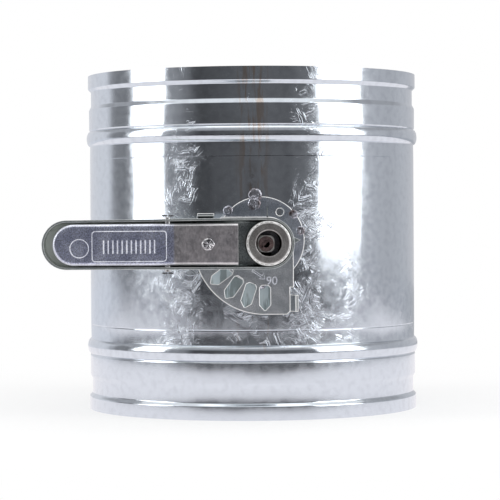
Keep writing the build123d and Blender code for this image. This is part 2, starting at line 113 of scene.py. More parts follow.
def softEdged(node, width, rim=None, worn=noLeanHighlight, clamped=True):
    # The node's own shape, merged, with its sharp edges broken as a pressing's are
    mesh = frame["nodes"][node].data.copy()
    form = formOf(mesh)
    flat = math.radians(edgeBreaks["flatDegrees"])
    bmesh.ops.dissolve_limit(form, angle_limit=flat, verts=form.verts, edges=form.edges)
    if rim:
        bmesh.ops.bevel(
            form,
            geom=[edge for edge in form.edges if rim["onRim"](edge)],
            offset=rim["radius"] * mm,
            segments=rim["segments"],
            profile=0.5,
            affect="EDGES",
            clamp_overlap=False,
        )
    form.to_mesh(mesh)
    form.free()
    if "sharp_face" in mesh.attributes:
        mesh.attributes.remove(mesh.attributes["sharp_face"])
    mesh.shade_smooth()
    mesh.materials.clear()
    for slot in range(2):
        mesh.materials.append(None)
    piece = workPiece(mesh)
    bevel = piece.modifiers.new("Broken edges", "BEVEL")
    bevel.width = width
    bevel.segments = edgeBreaks["segments"]
    bevel.limit_method = "ANGLE"
    bevel.angle_limit = math.radians(edgeBreaks["sharpDegrees"])
    bevel.material = 1
    bevel.use_clamp_overlap = clamped
    even = piece.modifiers.new("Even shading", "WEIGHTED_NORMAL")
    even.keep_sharp = True
    even.weight = edgeBreaks["normalWeight"]
    result = evaluatedMesh(piece)
    bpy.data.objects.remove(piece)
    # The painted highlight's share, per face: whole on a broken edge, and elsewhere growing as a face leans away from
    # the front
    highlight = result.attributes.new("bareEdge", "FLOAT", "FACE")
    for face in result.polygons:
        lean = math.degrees(face.normal.angle(Vector((0, -1, 0)), 0.0))
        share = min(max((lean - worn["from"]) / (worn["full"] - worn["from"]), 0.0), 1.0)
        leanLight = worn["share"] * share if lean < worn["until"] else 0.0
        highlight.data[face.index].value = max(face.material_index, leanLight)
        face.material_index = 0
    return result


def roundCorners(points, steps=4, most=0.48):
    # Points are (across, along, radius): each corner becomes an arc as wide as its sides allow
    done = []
    for spot, (x, y, radius) in enumerate(points):
        here = Vector((x, y))
        if radius == 0 or spot in (0, len(points) - 1):
            done.append(here)
            continue
        back = Vector(points[spot - 1][:2]) - here
        on = Vector(points[spot + 1][:2]) - here
        half = back.angle(on) / 2
        reach = min(radius / math.tan(half), most * back.length, most * on.length)
        start = here + back.normalized() * reach
        end = here + on.normalized() * reach
        for step in range(steps + 1):
            share = step / steps
            done.append(start * (1 - share) ** 2 + here * 2 * share * (1 - share) + end * share**2)
    return done


# Node helpers

class NodeWork:
    def __init__(self, tree):
        self.tree = tree

    def add(self, kind, inputs=None, **settings):
        made = self.tree.nodes.new(kind)
        for key, value in settings.items():
            setattr(made, key, value)
        for key, value in (inputs or {}).items():
            self.put(made.inputs[key], value)
        return made

    def put(self, socket, value):
        if isinstance(value, bpy.types.NodeSocket):
            self.tree.links.new(value, socket)
        elif isinstance(value, bpy.types.Node):
            self.tree.links.new(value.outputs[0], socket)
        else:
            socket.default_value = value

    def math(self, operation, first, second=0.0, third=0.0):
        made = self.add("ShaderNodeMath", operation=operation)
        for socket, value in zip(made.inputs, (first, second, third)):
            self.put(socket, value)
        return made.outputs[0]

    def chain(self, operation, *values):
        result = values[0]
        for value in values[1:]:
            result = self.math(operation, result, value)
        return result

    def away(self, value, middle):
        return self.math("ABSOLUTE", self.math("SUBTRACT", value, middle))

    def vector(self, operation, first, second=(0, 0, 0), scale=None):
        made = self.add("ShaderNodeVectorMath", {0: first, 1: second}, operation=operation)
        if scale is not None:
            self.put(made.inputs["Scale"], scale)
        return made.outputs["Value" if operation in ("LENGTH", "DOT_PRODUCT") else "Vector"]

    def place(self):
        return self.add("ShaderNodeTexCoord").outputs["Object"]

    def split(self, vector):
        return self.add("ShaderNodeSeparateXYZ", {0: vector}).outputs

    def join(self, x, y, z=0.0):
        return self.add("ShaderNodeCombineXYZ", {0: x, 1: y, 2: z}).outputs[0]

    def noise(self, vector, scale, detail, roughness=0.5, dimensions="3D"):
        inputs = {"Vector": vector, "Scale": scale, "Detail": detail, "Roughness": roughness}
        return self.add("ShaderNodeTexNoise", inputs, noise_dimensions=dimensions)

    def spread(self, value, low, high, start=0.0, end=1.0, smooth=True):
        kind = "SMOOTHSTEP" if smooth else "LINEAR"
        made = self.add("ShaderNodeMapRange", interpolation_type=kind)
        for key, number in zip(("Value", "From Min", "From Max", "To Min", "To Max"), (value, low, high, start, end)):
            self.put(made.inputs[key], number)
        return made.outputs[0]

    def blend(self, share, first, second, mode="MIX"):
        made = self.add("ShaderNodeMix", data_type="RGBA", blend_type=mode)
        self.put(made.inputs["Factor"], share)
        self.put(made.inputs[6], first)
        self.put(made.inputs[7], second)
        return made.outputs[2]

    def bump(self, shader, height):
        made = self.add("ShaderNodeBump", {"Height": height, "Distance": 1.0, "Strength": 1.0})
        self.put(shader.inputs["Normal"], made)

    def cover(self, shader, share, tone):
        socket = shader.inputs["Base Color"]
        self.put(socket, self.blend(share, socket.links[0].from_socket, tone))

    def glow(self, tone):
        return self.add("ShaderNodeEmission", {"Color": tone, "Strength": 1.0})


def emptyTree(owner):
    owner.use_nodes = True
    owner.node_tree.nodes.clear()
    return NodeWork(owner.node_tree)


def growMesh(name, build, mesh, sizes):
    # Runs a Geometry Nodes tree on a mesh: one named input for each size, and build makes the shape
    tree = bpy.data.node_groups.new(name, "GeometryNodeTree")
    for flow in ("OUTPUT", "INPUT"):
        tree.interface.new_socket("Geometry", in_out=flow, socket_type="NodeSocketGeometry")
    kinds = {int: "NodeSocketInt", float: "NodeSocketFloat", Vector: "NodeSocketVector"}
    for label, value in sizes.items():
        kind = kinds.get(type(value), "NodeSocketMaterial")
        tree.interface.new_socket(label, in_out="INPUT", socket_type=kind)
    work = NodeWork(tree)
    given = work.add("NodeGroupInput").outputs
    real = work.add("GeometryNodeRealizeInstances", {0: build(work, given)})
    painted = work.add("GeometryNodeSetMaterial", {"Geometry": real, "Material": given["Finish"]})
    work.add("NodeGroupOutput", {0: painted})
    piece = workPiece(mesh)
    modifier = piece.modifiers.new(name, "NODES")
    modifier.node_group = tree
    for item in tree.interface.items_tree:
        if item.in_out == "INPUT" and item.name in sizes:
            modifier[item.identifier] = sizes[item.name]
    result = evaluatedMesh(piece)
    bpy.data.objects.remove(piece)
    return result


# Finishes

def newFinish(name):
    material = bpy.data.materials.new(name)
    work = emptyTree(material)
    shader = work.add("ShaderNodeBsdfPrincipled")
    work.add("ShaderNodeOutputMaterial", {"Surface": shader})
    return material, work, shader


galvanising = {
    "smooth": (0.69, 0.74, 0.80, 1),
    "crystal": (0.76, 0.82, 0.89, 1),
    "lowCrystal": (0.60, 0.65, 0.71, 1),
    "dull": (0.64, 0.685, 0.745, 1),
    "brown": (0.60, 0.50, 0.43, 1),
    "soot": (0.30, 0.26, 0.24, 1),
    "shaded": (0.34, 0.40, 0.41, 1),
    "shadedPale": (0.66, 0.76, 0.79, 1),
    "grainMillimetres": (8.6, 5.8, 3.6),
    "grainStrength": (0.6, 0.62, 0.6),
    "grainTurn": (37.0, 50.0, 63.0),
    "smoothRoughness": 0.15,
    "smoothVaries": 0.02,
    "crystalRoughness": 0.27,
    "cloudRoughness": 0.06,
    "cloudShare": 0.4,
    "shadedRoughness": 0.25,
    "shadedMetal": -0.45,
    "tilt": 0.2,
    "crystalRelief": 0.006,
    # Drawing lines up the sheet and its broad waviness: stretch, detail and height in mm
    "relief": [((0.9, 0.02, 1), 3.0, 0.005), ((0.045, 0.012, 1), 1.0, 0.5)],
}

# Where the duct's marks are, in metres: most are two places and the strength at each
ductMarks = {
    "clearOfBeads": (0.056, 0.062, 1.0, 0.6),  # up and down from the shaft
    "aboveFoot": (0.038, 0.046),
    "lowDown": (0.066, 0.1, 0.34, 0.0),
    "columnsMiddle": -0.0105,
    "columnsAside": 0.0355,
    "besideColumn": (0.004, 0.013, 0.54, 0.0),
    "edgeways": (0.062, 0.078, 0.0, -0.45),
    "paleCrystal": (0.075, 0.1),
    "front": (-0.05, 0.0, 1.0, 0.0),
    "brownX": -0.006,
    "brownWidth": (0.003, 0.012, 0.8, 0.0),
    "brownMiddle": -0.012,  # from the shaft
    "brownApart": (0.026, 0.036),
    "brownAboveFoot": (0.037, 0.043),
    "sootX": -0.0068,
    "sootWidth": (0.0, 0.0055, 0.6, 0.0),
    "sootFrom": (0.118, 0.13),
    "sootTo": (0.140, 0.156, 1.0, 0.0),
    # Where the painted shade behind the quadrant plate lies
    "plateReach": (0.0385, 0.0398, 1.0, 0.0),
    "plateFront": (-0.05, -0.02, 1.0, 0.0),
    "plateRight": (0.010, 0.013, 1.0, 0.0),
    "plateTop": (-0.014, -0.012, 1.0, 0.0),  # from the shaft
}


def crystalLayer(work, sheet, size, keep, turn):
    # Needles of zinc: one straight blade across each cell, feathered along its length
    cells = work.add("ShaderNodeTexVoronoi", {"Vector": sheet, "Scale": 1 / size}, voronoi_dimensions="2D")
    pick, chance, shade = work.add("ShaderNodeSeparateColor", {0: cells.outputs["Color"]}).outputs
    local = work.vector("SUBTRACT", sheet, cells.outputs["Position"])
    angle = work.math("MULTIPLY", pick, turn)
    turned = work.add("ShaderNodeVectorRotate", {"Vector": local, "Angle": angle}, rotation_type="Z_AXIS")
    along, aside = work.split(turned)[:2]
    far = work.math("DIVIDE", work.math("ABSOLUTE", along), 0.9 * size)
    breadth = work.math("MULTIPLY_ADD", shade, 0.09 * size, 0.04 * size)
    wide = work.math("DIVIDE", work.math("ABSOLUTE", aside), breadth)
    needle = work.spread(work.math("ADD", far, wide), 0.6, 1.0, 1.0, 0.0)
    offset = work.vector("SCALE", cells.outputs["Color"], scale=40.0)
    stretched = work.vector("MULTIPLY", turned, (0.05, 1.3, 1))
    feather = work.noise(work.vector("ADD", stretched, offset), 1.0, 2.0, dimensions="2D")
    blades = work.math("MAXIMUM", needle, work.spread(feather, 0.5, 0.68, 0.0, 0.5))
    present = work.spread(work.math("SUBTRACT", keep, chance), 0.0, 0.3)
    return work.math("MULTIPLY", blades, present), aside, shade


def galvanised(name, around, amount):
    # Spangled zinc on the duct's rolled sheet, or on a flat sheet along X and Y
    material, work, shader = newFinish(name)
    look, marks = galvanising, ductMarks
    place = work.place()
    x, y, z = work.split(place)
    if around:
        # The sheet laid flat: millimetres round the duct, and millimetres up it
        seam = math.radians(ductSheet["seamDegrees"])
        level = work.vector("DOT_PRODUCT", place, (-math.cos(seam), -math.sin(seam), 0))
        across = work.vector("DOT_PRODUCT", place, (math.sin(seam), -math.cos(seam), 0))
        along = work.math("MULTIPLY", work.math("ARCTAN2", across, level), ductSheet["radius"])
        up = work.math("MULTIPLY", z, 1 / mm)
    else:
        along = work.math("MULTIPLY", x, 1 / mm)
        up = work.math("MULTIPLY", y, 1 / mm)
    sheet = work.join(along, up)
    drift = work.noise(sheet, 0.09, 3.0, dimensions="2D").outputs["Color"]
    centred = work.vector("SUBTRACT", drift, (0.5, 0.5, 0.5))
    warped = work.vector("ADD", sheet, work.vector("SCALE", centred, scale=4.0))

    broad = work.noise(sheet, 0.03, 2.0, dimensions="2D")
    patch = work.math("MULTIPLY_ADD", broad, 1.7, amount - 0.95)
    if around:
        # More crystal low down and in a column to each side, less by the beads and at the duct's edges
        column = work.away(work.away(x, marks["columnsMiddle"]), marks["columnsAside"])
        patch = work.chain(
            "ADD",
            patch,
            work.spread(z, *marks["lowDown"]),
            work.spread(column, *marks["besideColumn"]),
            work.spread(work.math("ABSOLUTE", x), *marks["edgeways"]),
        )
        clear = work.spread(work.away(z, shaftHeight), *marks["clearOfBeads"])
        patch = work.chain("MULTIPLY", patch, clear, work.spread(z, *marks["aboveFoot"]))
    shard = 0.0
    leaning = 0.0
    for size, strength, turn in zip(look["grainMillimetres"], look["grainStrength"], look["grainTurn"]):
        blades, aside, shade = crystalLayer(work, warped, size, patch, turn)
        tone = work.math("MULTIPLY", blades, work.math("MULTIPLY_ADD", shade, 0.7 * strength, 0.3 * strength))
        shard = work.math("MAXIMUM", tone, shard)
        tilt = work.math("MULTIPLY_ADD", shade, look["tilt"], -look["tilt"] / 2)
        leaning = work.math("MULTIPLY_ADD", work.math("MULTIPLY", aside, tilt), blades, leaning)

    haze = work.noise(sheet, 0.22, 4.0, dimensions="2D")
    hazy = work.spread(haze, 0.3, 0.6)
    base = work.blend(work.spread(haze, 0.25, 0.6), look["dull"], look["smooth"])
    if around:
        # Faint brown up the middle and a dark streak over the disc, on the front only, a little left of the middle
        stretched = work.vector("MULTIPLY", sheet, (0.26, 0.03, 1))
        streaks = work.noise(stretched, 1.0, 4.0, 0.6, dimensions="2D")
        front = work.spread(y, *marks["front"])
        brown = work.chain(
            "MULTIPLY",
            work.spread(work.away(x, marks["brownX"]), *marks["brownWidth"]),
            work.spread(work.away(z, shaftHeight + marks["brownMiddle"]), *marks["brownApart"]),
            work.spread(z, *marks["brownAboveFoot"]),
            front,
            work.spread(streaks, 0.47, 0.6),
        )
        base = work.blend(brown, base, look["brown"])
        soot = work.chain(
            "MULTIPLY",
            work.spread(work.away(x, marks["sootX"]), *marks["sootWidth"]),
            work.spread(z, *marks["sootFrom"]),
            work.spread(z, *marks["sootTo"]),
            hazy,
            front,
        )
        base = work.blend(soot, base, look["soot"])
    cloud = work.math("MULTIPLY", work.spread(patch, 0.1, 0.8), hazy)
    crystal = work.blend(work.spread(z, *marks["paleCrystal"]), look["lowCrystal"], look["crystal"])
    shown = work.math("MAXIMUM", shard, work.math("MULTIPLY", cloud, look["cloudShare"]))
    colour = work.blend(shown, base, crystal)
    calmest = look["smoothRoughness"] - look["smoothVaries"]
    calm = work.spread(haze, 0.3, 0.8, calmest, calmest + 2 * look["smoothVaries"])
    calm = work.math("MULTIPLY_ADD", cloud, look["cloudRoughness"], calm)
    rough = work.add("ShaderNodeMix", {"Factor": shard, 2: calm, 3: look["crystalRoughness"]}, data_type="FLOAT")
    metal = 1.0
    if around:
        # Painted shade behind the quadrant plate, where light only comes through its slots: a darker, less metallic,
        # rougher tone varied by noise
        middle = work.vector("SUBTRACT", place, (0, 0, shaftHeight))
        reach = work.vector("LENGTH", work.vector("MULTIPLY", middle, (1, 0, 1)))
        under = work.chain(
            "MULTIPLY",
            work.spread(reach, *marks["plateReach"]),
            work.spread(y, *marks["plateFront"]),
            work.spread(x, *marks["plateRight"]),
            work.spread(work.split(middle)[2], *marks["plateTop"]),
        )
        plateShadeTone = work.blend(work.spread(streaks, 0.42, 0.56), look["shaded"], look["shadedPale"])
        colour = work.blend(under, colour, plateShadeTone)
        metal = work.math("MULTIPLY_ADD", under, look["shadedMetal"], 1.0)
        rough = work.math("MULTIPLY_ADD", under, look["shadedRoughness"], rough)
    work.put(shader.inputs["Base Color"], colour)
    work.put(shader.inputs["Metallic"], metal)
    work.put(shader.inputs["Roughness"], rough)

    relief = work.math("MULTIPLY", leaning, mm)
    relief = work.math("MULTIPLY_ADD", shard, look["crystalRelief"] * mm, relief)
    for stretch, detail, height in look["relief"]:
        lines = work.noise(work.vector("MULTIPLY", sheet, stretch), 1.0, detail, dimensions="2D")
        relief = work.math("MULTIPLY_ADD", lines, height * mm, relief)
    work.bump(shader, relief)
    return material


# The painted highlight's tone: near white, and much less metallic so it shows as lit
highlightSteel = {"tone": (0.95, 0.95, 0.94, 1), "metal": -0.75}


def plated(name, tint, shade, roughness=0.3, grain=0.6, speckle=0.35, relief=0.004, edge=0.95, second=None, shine=1.0):
    # Zinc plated pressings: two tones in soft patches, fine speckle, and a painted highlight, near white and less
    # metallic, on broken edges and on faces that lean from the front
    material, work, shader = newFinish(name)
    place = work.place()
    spot = work.vector("SCALE", place, scale=1 / mm)
    patches = work.noise(spot, 0.16, 4.0, 0.6)
    fine = work.noise(spot, 1 / grain, 3.0, 0.65)
    share = work.spread(patches, 0.36, 0.66)
    tone = work.blend(share, (*shade, 1), (*tint, 1))
    grains = fine
    if second:
        # A second pair of tones past one place along X, where the sheet is bent, with a calmer grain
        other = work.blend(share, (*second["shade"], 1), (*second["tint"], 1))
        past = work.spread(work.split(place)[0], second["from"] * mm, second["to"] * mm)
        tone = work.blend(past, tone, other)
        soft = work.noise(work.vector("MULTIPLY", spot, (0.9, 0.9, 0.45)), 1.0, 2.0)
        grains = work.add("ShaderNodeMix", {"Factor": past, 2: fine, 3: soft}, data_type="FLOAT")
    dots = work.spread(grains, 0.38, 0.64, 1.0 + speckle * 0.5, 1.0 - speckle)
    if second:
        fainter = work.math("SUBTRACT", 1.0, dots)
        dots = work.math("MULTIPLY_ADD", work.math("MULTIPLY", past, 0.7), fainter, dots)
    dotted = work.add("ShaderNodeCombineColor", {0: dots, 1: dots, 2: dots})
    colour = work.blend(1.0, tone, dotted, "MULTIPLY")
    highlight = work.math("MULTIPLY", work.add("ShaderNodeAttribute", attribute_name="bareEdge").outputs["Fac"], edge)
    work.put(shader.inputs["Base Color"], work.blend(highlight, colour, highlightSteel["tone"]))
    work.put(shader.inputs["Metallic"], work.math("MULTIPLY_ADD", highlight, highlightSteel["metal"] * shine, shine))
    work.put(shader.inputs["Roughness"], work.spread(fine, 0.3, 0.75, roughness - 0.06, roughness + 0.14))
    work.bump(shader, work.math("MULTIPLY", fine, relief * mm))
    return material, work, shader


ductSheet = {
    "radius": 100.0,
    "wall": 0.8,
    "length": 204.0,
    "rimWidth": 8.0,
    "rimRise": 1.0,
    "neckEnd": 18.5,
    "neckDrop": 0.8,
    "bandStart": 21.0,
    "bandEnd": 33.0,
    "bandRise": 0.5,
    "bandLean": 0.07,
    "beadStart": 34.0,
    "beadWidth": 9.0,
    "beadHeight": 2.0,
    "scoreAt": 51.8,
    "scoreDepth": 0.05,
    "footDrop": 0.15,
    "seamDegrees": 125.0,
    "seamWidth": 2.4,
    "seamHeight": 0.3,
    "seamRun": 1.5,
    "seamMargin": 1.0,
    "segments": 540,
    "bushHole": 8.65,
}

ductZinc = galvanised("Galvanised duct", True, 0.10)
bladeZinc = galvanised("Galvanised blade", False, 0.5)


# Duct shell: one rolled sheet with a beaded spigot at each end

def ductSection():
    size = ductSheet
    rim = size["rimRise"]
    neck = -size["neckDrop"]
    band = size["bandRise"]
    foot = -size["footDrop"]
    start = size["beadStart"]
    half = size["beadWidth"] / 2
    score = size["scoreAt"]
    lower = [
        (rim, 0.0, 0),
        (rim, size["rimWidth"], 1.2),
        (neck, size["rimWidth"] + 1.7, 1.2),
        (neck, size["neckEnd"], 1.2),
        (band, size["bandStart"], 1.2),
        (band - size["bandLean"], size["bandEnd"], 0.8),
        (foot, start, 0.8),
    ]
    beadSteps = 12
    for step in range(1, beadSteps):
        turn = math.pi * step / beadSteps
        lower.append((size["beadHeight"] * math.sin(turn), start + half * (1 - math.cos(turn)), 0))
    lower += [
        (foot, start + size["beadWidth"], 0.8),
        (0.0, score - 0.5, 0.4),
        (-size["scoreDepth"], score, 0.3),
        (0.0, score + 0.5, 0.4),
    ]
    upper = [(offset, size["length"] - height, radius) for offset, height, radius in reversed(lower)]
    outer = roundCorners(lower + upper)
    inner = [Vector((offset - size["wall"], height)) for offset, height in reversed(outer)]
    inner[0].y = outer[-1].y
    loop = outer + inner
    mesh = bpy.data.meshes.new("duct_section")
    spots = [(offset * mm, -height * mm, 0) for offset, height in loop]
    edges = [(spot, (spot + 1) % len(spots)) for spot in range(len(spots))]
    mesh.from_pydata(spots, edges, [])
    return mesh


def ductShape(work, given):
    # Sweeps the wall's section round the duct, then raises the lock seam on its outside
    section = work.add("GeometryNodeMeshToCurve", {0: given["Geometry"]})
    circle = work.add("GeometryNodeCurvePrimitiveCircle", {"Resolution": given["Segments"], "Radius": given["Radius"]})
    swept = work.add("GeometryNodeCurveToMesh", {"Curve": circle, "Profile Curve": section})
    x, y, z = work.split(work.add("GeometryNodeInputPosition"))
    turn = work.math("ARCTAN2", y, x)
    aside = work.math("MULTIPLY", work.math("SUBTRACT", turn, given["Seam Turn"]), given["Radius"])
    half = work.math("MULTIPLY", given["Seam Width"], 0.5)
    ridge = work.spread(work.math("ABSOLUTE", aside), work.math("MULTIPLY", half, 0.6), half, 1.0, 0.0)
    flat = work.join(x, y)
    inside = work.math("SUBTRACT", given["Radius"], 0.3 * mm)
    outside = work.math("GREATER_THAN", work.vector("LENGTH", flat), inside)
    low = work.spread(z, given["Seam Low"], work.math("ADD", given["Seam Low"], given["Seam Run"]))
    high = work.spread(z, work.math("SUBTRACT", given["Seam High"], given["Seam Run"]), given["Seam High"], 1.0, 0.0)
    lift = work.chain("MULTIPLY", ridge, outside, low, high, given["Seam Height"])
    offset = work.vector("SCALE", work.vector("NORMALIZE", flat), scale=lift)
    return work.add("GeometryNodeSetPosition", {"Geometry": swept, "Offset": offset})


def cutBushHoles(mesh):
    # Round holes for the bushes, front and rear
    shell = workPiece(mesh)
    upright = Matrix.Rotation(math.radians(90), 4, "X")
    for side in (-1, 1):
        form = bmesh.new()
        bmesh.ops.create_cone(
            form,
            cap_ends=True,
            segments=64,
            radius1=ductSheet["bushHole"] * mm,
            radius2=ductSheet["bushHole"] * mm,
            depth=30 * mm,
            matrix=Matrix.Translation((0, side * ductSheet["radius"] * mm, shaftHeight)) @ upright,
        )
        tool = workPiece(meshFrom(form, "cutter"))
        cut = shell.modifiers.new("Bush hole", "BOOLEAN")
        cut.operation = "DIFFERENCE"
        cut.solver = "EXACT"
        cut.object = tool
        result = evaluatedMesh(shell)
        shell.modifiers.remove(cut)
        shell.data = result
        bpy.data.objects.remove(tool)
    bpy.data.objects.remove(shell)
    return result


seamLow = ductSheet["beadStart"] + ductSheet["beadWidth"] + ductSheet["seamMargin"]
sizes = {
    "Radius": ductSheet["radius"] * mm,
    "Segments": ductSheet["segments"],
    "Seam Turn": math.radians(ductSheet["seamDegrees"]),
    "Seam Width": ductSheet["seamWidth"] * mm,
    "Seam Height": ductSheet["seamHeight"] * mm,
    "Seam Run": ductSheet["seamRun"] * mm,
    "Seam Low": seamLow * mm,
    "Seam High": (ductSheet["length"] - seamLow) * mm,
    "Finish": ductZinc,
}
ductMesh = growMesh("Rolled duct", ductShape, ductSection(), sizes)
form = formOf(ductMesh, welded=False)
if form.calc_volume(signed=True) < 0:
    bmesh.ops.reverse_faces(form, faces=form.faces)
ductMesh = cutBushHoles(meshFrom(form, "duct_wall"))
smoothByAngle(ductMesh, 50)
finishPiece(ductMesh, "duct_wall", "housing", ductZinc, ["duct_shell"])
print("Duct shell:", len(ductMesh.polygons), "faces")


# Steel finishes of the mechanism

steels = {
    "disc": {"name": "Base disc steel", "tint": (0.66, 0.71, 0.80), "shade": (0.46, 0.51, 0.59)},
    "quadrant": {
        "name": "Quadrant steel",
        "tint": (0.52, 0.55, 0.58),
        "shade": (0.40, 0.43, 0.46),
        "roughness": 0.36,
        "grain": 0.5,
        "speckle": 0.3,
    },
    "handle": {
        "name": "Handle steel",
        "tint": (0.42, 0.46, 0.46),
        "shade": (0.30, 0.34, 0.35),
        "roughness": 0.38,
        "edge": 0.4,
    },
    "lever": {
        "name": "Lever steel",
        "tint": (0.60, 0.64, 0.80),
        "shade": (0.38, 0.41, 0.56),
        "roughness": 0.34,
        "grain": 0.75,
        "speckle": 0.5,
        "relief": 0.012,
        "second": {"from": -53.0, "to": -51.5, "tint": (0.54, 0.52, 0.54), "shade": (0.38, 0.37, 0.39)},
    },
    "hub": {"name": "Hub steel", "tint": (0.44, 0.43, 0.42), "shade": (0.32, 0.31, 0.30), "roughness": 0.34},
    "shaft": {
        "name": "Shaft steel",
        "tint": (0.30, 0.22, 0.21),
        "shade": (0.16, 0.12, 0.12),
        "roughness": 0.42,
        "edge": 0.7,
    },
    "weld": {
        "name": "Weld metal",
        "tint": (0.66, 0.68, 0.76),
        "shade": (0.16, 0.13, 0.13),
        "roughness": 0.24,
        "grain": 0.5,
        "speckle": 0.6,
        "relief": 0.05,
    },
    "bright": {
        "name": "Bright plated steel",
        "tint": (0.92, 0.92, 0.92),
        "shade": (0.74, 0.74, 0.75),
        "roughness": 0.26,
    },
    "spring": {
        "name": "Spring steel",
        "tint": (0.20, 0.20, 0.21),
        "shade": (0.10, 0.10, 0.11),
        "roughness": 0.32,
        "edge": 0.3,
    },
    # Pale and mostly matt, unlike the sheet they are raised from: a painted highlight on the raised lines, ribs, arrow
    # and numeral
    "bead": {
        "name": "Coined line steel",
        "tint": (0.86, 0.88, 0.94),
        "shade": (0.66, 0.68, 0.76),
        "grain": 0.5,
        "speckle": 0.3,
        "shine": 0.3,
    },
    "peen": {
        "name": "Peened head steel",
        "tint": (0.80, 0.80, 0.82),
        "shade": (0.34, 0.34, 0.36),
        "roughness": 0.2,
        "grain": 0.7,
        "speckle": 0.6,
        "relief": 0.02,
    },
}
steel = {}
shaders = {}
for key, look in steels.items():
    steel[key], *shaders[key] = plated(**look)

# Places in metres with painted shade in the hub and under it, and painted light on the floor at the handle's far end
shades = {
    "dark": (0.02, 0.02, 0.02, 1),
    "underHub": (0.0112, 0.0116, 1.0, 0.0),
    "liningAt": 0.0123,
    "lining": (0.0012, 0.003),
    "gripX": (-0.060, -0.050, 1.0, 0.0),
    "gripY": (-0.1185, -0.1165),
    "dust": (0.62, 0.66, 0.62, 1),
    "dustShare": 0.9,
    "dustMetal": -0.8,
}
hub = {"x": 0.0013, "z": 0.0003, "outerEdge": 0.010, "lip": 0.009, "lipShare": 0.12}

work, shader = shaders["handle"]
place = work.place()
flat = work.vector("MULTIPLY", work.vector("SUBTRACT", place, (hub["x"], 0, shaftHeight)), (1, 0, 1))
underHub = work.spread(work.vector("LENGTH", flat), *shades["underHub"])
x, y, z = work.split(place)
# Painted light: a pale, less metallic tone on the channel floor at the handle's far end
dust = work.math("MULTIPLY", work.spread(x, *shades["gripX"]), work.spread(y, *shades["gripY"]))
work.cover(shader, work.math("MULTIPLY", dust, shades["dustShare"]), shades["dust"])
# Painted shade: black on the handle's floor round the hub's axis
work.cover(shader, underHub, shades["dark"])
metal = shader.inputs["Metallic"]
fade = work.math("MULTIPLY_ADD", dust, shades["dustMetal"], 1.0)
work.put(metal, work.math("MULTIPLY", metal.links[0].from_socket, fade))

# Painted shade: black on the hub cup's faces from 1.2 to 3 mm behind its front
work, shader = shaders["hub"]
lining = frontOf("hub_cup", shades["liningAt"], shaftHeight)
inHubShade = work.spread(work.split(work.place())[1], *[lining + depth for depth in shades["lining"]])
work.cover(shader, inHubShade, shades["dark"])

linerLook = {"shade": (0.80, 0.78, 0.70, 1), "tint": (0.88, 0.87, 0.82, 1), "roughness": (0.42, 0.58), "relief": 0.02}
linerWhite, work, shader = newFinish("Liner plastic")
mottle = work.noise(work.vector("SCALE", work.place(), scale=1 / mm), 0.5, 4.0)
work.put(shader.inputs["Base Color"], work.blend(mottle, linerLook["shade"], linerLook["tint"]))
work.put(shader.inputs["Roughness"], work.spread(mottle, 0.3, 0.7, *linerLook["roughness"]))
work.bump(shader, work.math("MULTIPLY", mottle, linerLook["relief"] * mm))

# Pieces that keep the frame's own shape: their name, body, finish and how far their edges are broken, in mm
turning = "handle_and_blade"
pressings = {
    "base_disc": ("disc_plate", "housing", steel["disc"], 0.4),
    "quadrant_plate": ("quadrant", "housing", steel["quadrant"], 0.4),
    "quadrant_spacer": ("spacer_ring", "housing", steel["bright"], 0.15),
    "friction_washer": ("friction_ring", "housing", steel["bright"], 0.15),
    "front_bush": ("front_bush_turned", "housing", steel["bright"], 0.15),
    "rear_bush": ("rear_bush_turned", "housing", steel["bright"], 0.15),
    "rear_washer": ("rear_washer_ring", "housing", steel["bright"], 0.15),
    "front_liner": ("front_sleeve", "housing", linerWhite, 0.1),
    "rear_liner": ("rear_sleeve", "housing", linerWhite, 0.1),
    "shaft": ("shaft_bar", turning, steel["shaft"], 0.12),
    "blade": ("blade_plate", turning, bladeZinc, 0.2),
    "blade_straps": ("strap_pair", turning, bladeZinc, 0.2),
    "handle_body": ("handle_channel", turning, steel["handle"], 0.25),
    "hub_cup": ("hub_cap_turned", turning, steel["hub"], 0.12),
    "hub_clip": ("hub_retaining_clip", turning, steel["spring"], 0.1),
    "rear_clip": ("rear_retaining_clip", turning, steel["spring"], 0.1),
    "latch_lever": ("lever_tray", "latch", steel["lever"], 0.25),
    "locking_pin": ("locking_pin_turned", "latch", steel["bright"], 0.1),
}
closeBy = 0.05 * mm
leverEnd = -108.6
shaftFront = min(spot.y for spot in spotsOf("shaft"))
hubFront = min(spot.y for spot in spotsOf("hub_cup"))


def onLeverEnd(edge):
    # The edge between the lever's face and its skirt, round the far end
    if len(edge.link_faces) != 2 or max(corner.co.x for corner in edge.verts) > leverEnd * mm:
        return False
    facing = sorted(face.normal.y for face in edge.link_faces)
    return facing[0] < -0.9 and abs(facing[1]) < 0.4


def onShaftEnd(edge):
    return all(corner.co.y < shaftFront + closeBy for corner in edge.verts)


def fromHub(spot):
    return math.hypot(spot.x - hub["x"], spot.z - shaftHeight - hub["z"])


def onHubEdge(edge):
    # The outer edge of the cup's face
    spots = [corner.co for corner in edge.verts]
    return all(fromHub(spot) > hub["outerEdge"] and spot.y < hubFront + closeBy for spot in spots)


